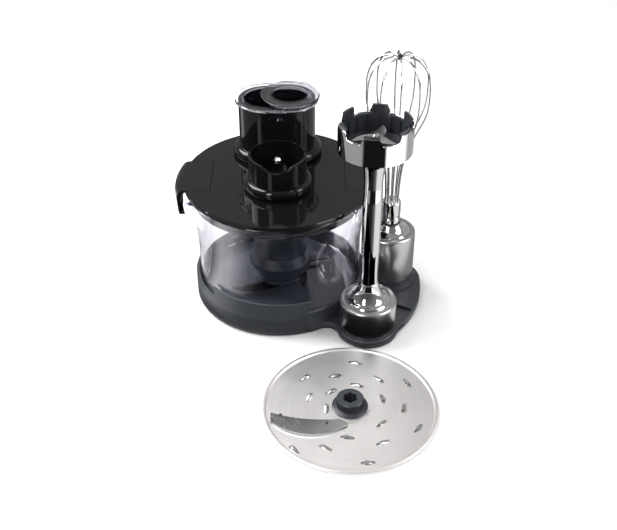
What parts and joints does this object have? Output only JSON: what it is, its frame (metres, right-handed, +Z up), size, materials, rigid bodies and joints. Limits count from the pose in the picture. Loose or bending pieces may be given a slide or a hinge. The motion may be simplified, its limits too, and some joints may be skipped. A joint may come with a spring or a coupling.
{
  "type": "food processor",
  "caption": "Food processor attachment set: clear bowl on a storage base, geared lid with feed chute, chopping blade, blending leg, whisk and slicing disc.",
  "frame": {"origin": "middle of the whole set's footprint, on the table", "axes": "+Z up, +Y towards the back, +X towards the whisk"},
  "size_m": [0.2544, 0.3677, 0.2665],
  "materials": {
    "grey_plastic": "fine satin moulded plastic",
    "black_plastic": "matt moulded plastic",
    "hub_plastic": "satin moulded plastic",
    "gear_plastic": "natural acetal",
    "gloss_black": "piano black",
    "clear_plastic": "clear, faintly violet at its edges",
    "rubber": "soft black rubber",
    "brushed_steel": "satin, brushed round the axis",
    "polished_steel": "mirror polished",
    "blade_steel": "ground blade steel",
    "fastener_steel": "plain steel",
    "bush_bronze": "sintered bronze"
  },
  "bodies": {
    "base": {"base_tray": "grey_plastic", "front_band": "grey_plastic", "base_plate": "black_plastic", "base_feet": "rubber", "base_screws": "fastener_steel"},
    "bowl": {"bowl": "clear_plastic", "bowl_catches": "clear_plastic", "bowl_pin": "polished_steel"},
    "chopping_blade": {"blade_hub": "hub_plastic", "hub_socket": "hub_plastic", "hub_bushes": "bush_bronze", "lower_blade": "blade_steel", "upper_blade": "blade_steel", "blade_clamp": "hub_plastic"},
    "lid": {"lid": "gloss_black", "lid_seal": "rubber", "latch_pins": "fastener_steel", "feed_chute": "gloss_black", "drive_socket": "gloss_black", "gearbox_cover": "black_plastic", "gearbox_screws": "fastener_steel", "input_bushes": "bush_bronze", "output_bushes": "bush_bronze"},
    "left_latch": {"left_latch": "gloss_black"},
    "right_latch": {"right_latch": "gloss_black"},
    "input_drive": {"drive_pin": "polished_steel", "pinion": "gear_plastic"},
    "output_drive": {"output_gear": "gear_plastic", "star_shaft": "hub_plastic"},
    "large_pusher": {"large_pusher": "clear_plastic"},
    "small_pusher": {"small_pusher": "clear_plastic"},
    "leg": {"leg_cup": "brushed_steel", "leg_liner": "black_plastic", "leg_tube": "polished_steel", "foot_ring": "polished_steel", "foot_liner": "hub_plastic", "leg_bushes": "bush_bronze", "leg_seal": "rubber"},
    "leg_drive": {"leg_shaft": "polished_steel", "leg_coupling": "black_plastic", "leg_blade": "blade_steel", "blade_rivet": "polished_steel"},
    "whisk_adapter": {"whisk_cup": "brushed_steel", "whisk_liner": "black_plastic", "ring_gear": "gear_plastic", "whisk_bushes": "bush_bronze", "o_ring": "rubber"},
    "whisk": {"planet_carrier": "polished_steel", "whisk_collar": "polished_steel", "whisk_wires": "polished_steel", "whisk_tip": "black_plastic"},
    "whisk_drive": {"sun_gear": "gear_plastic", "sun_shaft": "polished_steel"},
    "planet_1": {"planet_gear_1": "gear_plastic"},
    "planet_2": {"planet_gear_2": "gear_plastic"},
    "planet_3": {"planet_gear_3": "gear_plastic"},
    "disc": {"disc_plate": "brushed_steel", "slicing_blade": "blade_steel", "disc_rivets": "black_plastic", "disc_hub": "hub_plastic"}
  },
  "joints": [
    {"name": "bowl_lift", "type": "slide", "parent": "base", "child": "bowl", "axis": [0, 0, 1], "range_m": [0, 0.018]},
    {"name": "blade_spin", "type": "hinge", "parent": "bowl", "child": "chopping_blade", "pos_m": [-0.0234, 0.08885, 0.06], "axis": [0, 0, 1], "continuous": true},
    {"name": "lid_lift", "type": "slide", "parent": "bowl", "child": "lid", "axis": [0, 0, 1], "range_m": [0, 0.014]},
    {"name": "drive_spin", "type": "hinge", "parent": "lid", "child": "input_drive", "pos_m": [-0.0234, 0.07085, 0.14], "axis": [0, 0, 1], "continuous": true},
    {"name": "spindle_spin", "type": "hinge", "parent": "lid", "child": "output_drive", "pos_m": [-0.0234, 0.08885, 0.12], "axis": [0, 0, 1], "continuous": true},
    {"name": "left_latch_press", "type": "hinge", "parent": "lid", "child": "left_latch", "pos_m": [-0.1198, 0.08885, 0.1295], "axis": [0, 1, 0], "range_deg": [0, 3.8], "stiffness_Nm_per_rad": 0.5},
    {"name": "right_latch_press", "type": "hinge", "parent": "lid", "child": "right_latch", "pos_m": [0.073, 0.08885, 0.1295], "axis": [0, -1, 0], "range_deg": [0, 3.8], "stiffness_Nm_per_rad": 0.5},
    {"name": "large_pusher_lift", "type": "slide", "parent": "lid", "child": "large_pusher", "axis": [0, 0, 1], "range_m": [0, 0.05]},
    {"name": "small_pusher_lift", "type": "slide", "parent": "large_pusher", "child": "small_pusher", "axis": [0, 0, 1], "range_m": [0, 0.05]},
    {"name": "leg_lift", "type": "slide", "parent": "base", "child": "leg", "axis": [0, 0, 1], "range_m": [0, 0.06]},
    {"name": "leg_blade_spin", "type": "hinge", "parent": "leg", "child": "leg_drive", "pos_m": [0.0662, 0.01115, 0.222], "axis": [0, 0, 1], "continuous": true},
    {"name": "whisk_adapter_lift", "type": "slide", "parent": "base", "child": "whisk_adapter", "axis": [0, 0, 1], "range_m": [0, 0.024]},
    {"name": "whisk_spin", "type": "hinge", "parent": "whisk_adapter", "child": "whisk", "pos_m": [0.0916, 0.08885, 0.09], "axis": [0, 0, 1], "continuous": true},
    {"name": "whisk_drive_spin", "type": "hinge", "parent": "whisk_adapter", "child": "whisk_drive", "pos_m": [0.0916, 0.08885, 0.05], "axis": [0, 0, 1], "continuous": true},
    {"name": "planet_1_spin", "type": "hinge", "parent": "whisk", "child": "planet_1", "pos_m": [0.1036, 0.08885, 0.055], "axis": [0, 0, 1], "continuous": true},
    {"name": "planet_2_spin", "type": "hinge", "parent": "whisk", "child": "planet_2", "pos_m": [0.0856, 0.09924, 0.055], "axis": [0, 0, 1], "continuous": true},
    {"name": "planet_3_spin", "type": "hinge", "parent": "whisk", "child": "planet_3", "pos_m": [0.0856, 0.07846, 0.055], "axis": [0, 0, 1], "continuous": true},
    {"name": "disc_lift", "type": "slide", "parent": "base", "child": "disc", "axis": [0, 0, 1], "range_m": [0, 0.1]}
  ],
  "couplings": [
    {"joint": "spindle_spin", "follows": "blade_spin", "ratio": 1},
    {"joint": "drive_spin", "follows": "blade_spin", "ratio": -2},
    {"joint": "whisk_drive_spin", "follows": "whisk_spin", "ratio": 5},
    {"joint": "planet_1_spin", "follows": "whisk_spin", "ratio": -2.6667},
    {"joint": "planet_2_spin", "follows": "whisk_spin", "ratio": -2.6667},
    {"joint": "planet_3_spin", "follows": "whisk_spin", "ratio": -2.6667}
  ]
}
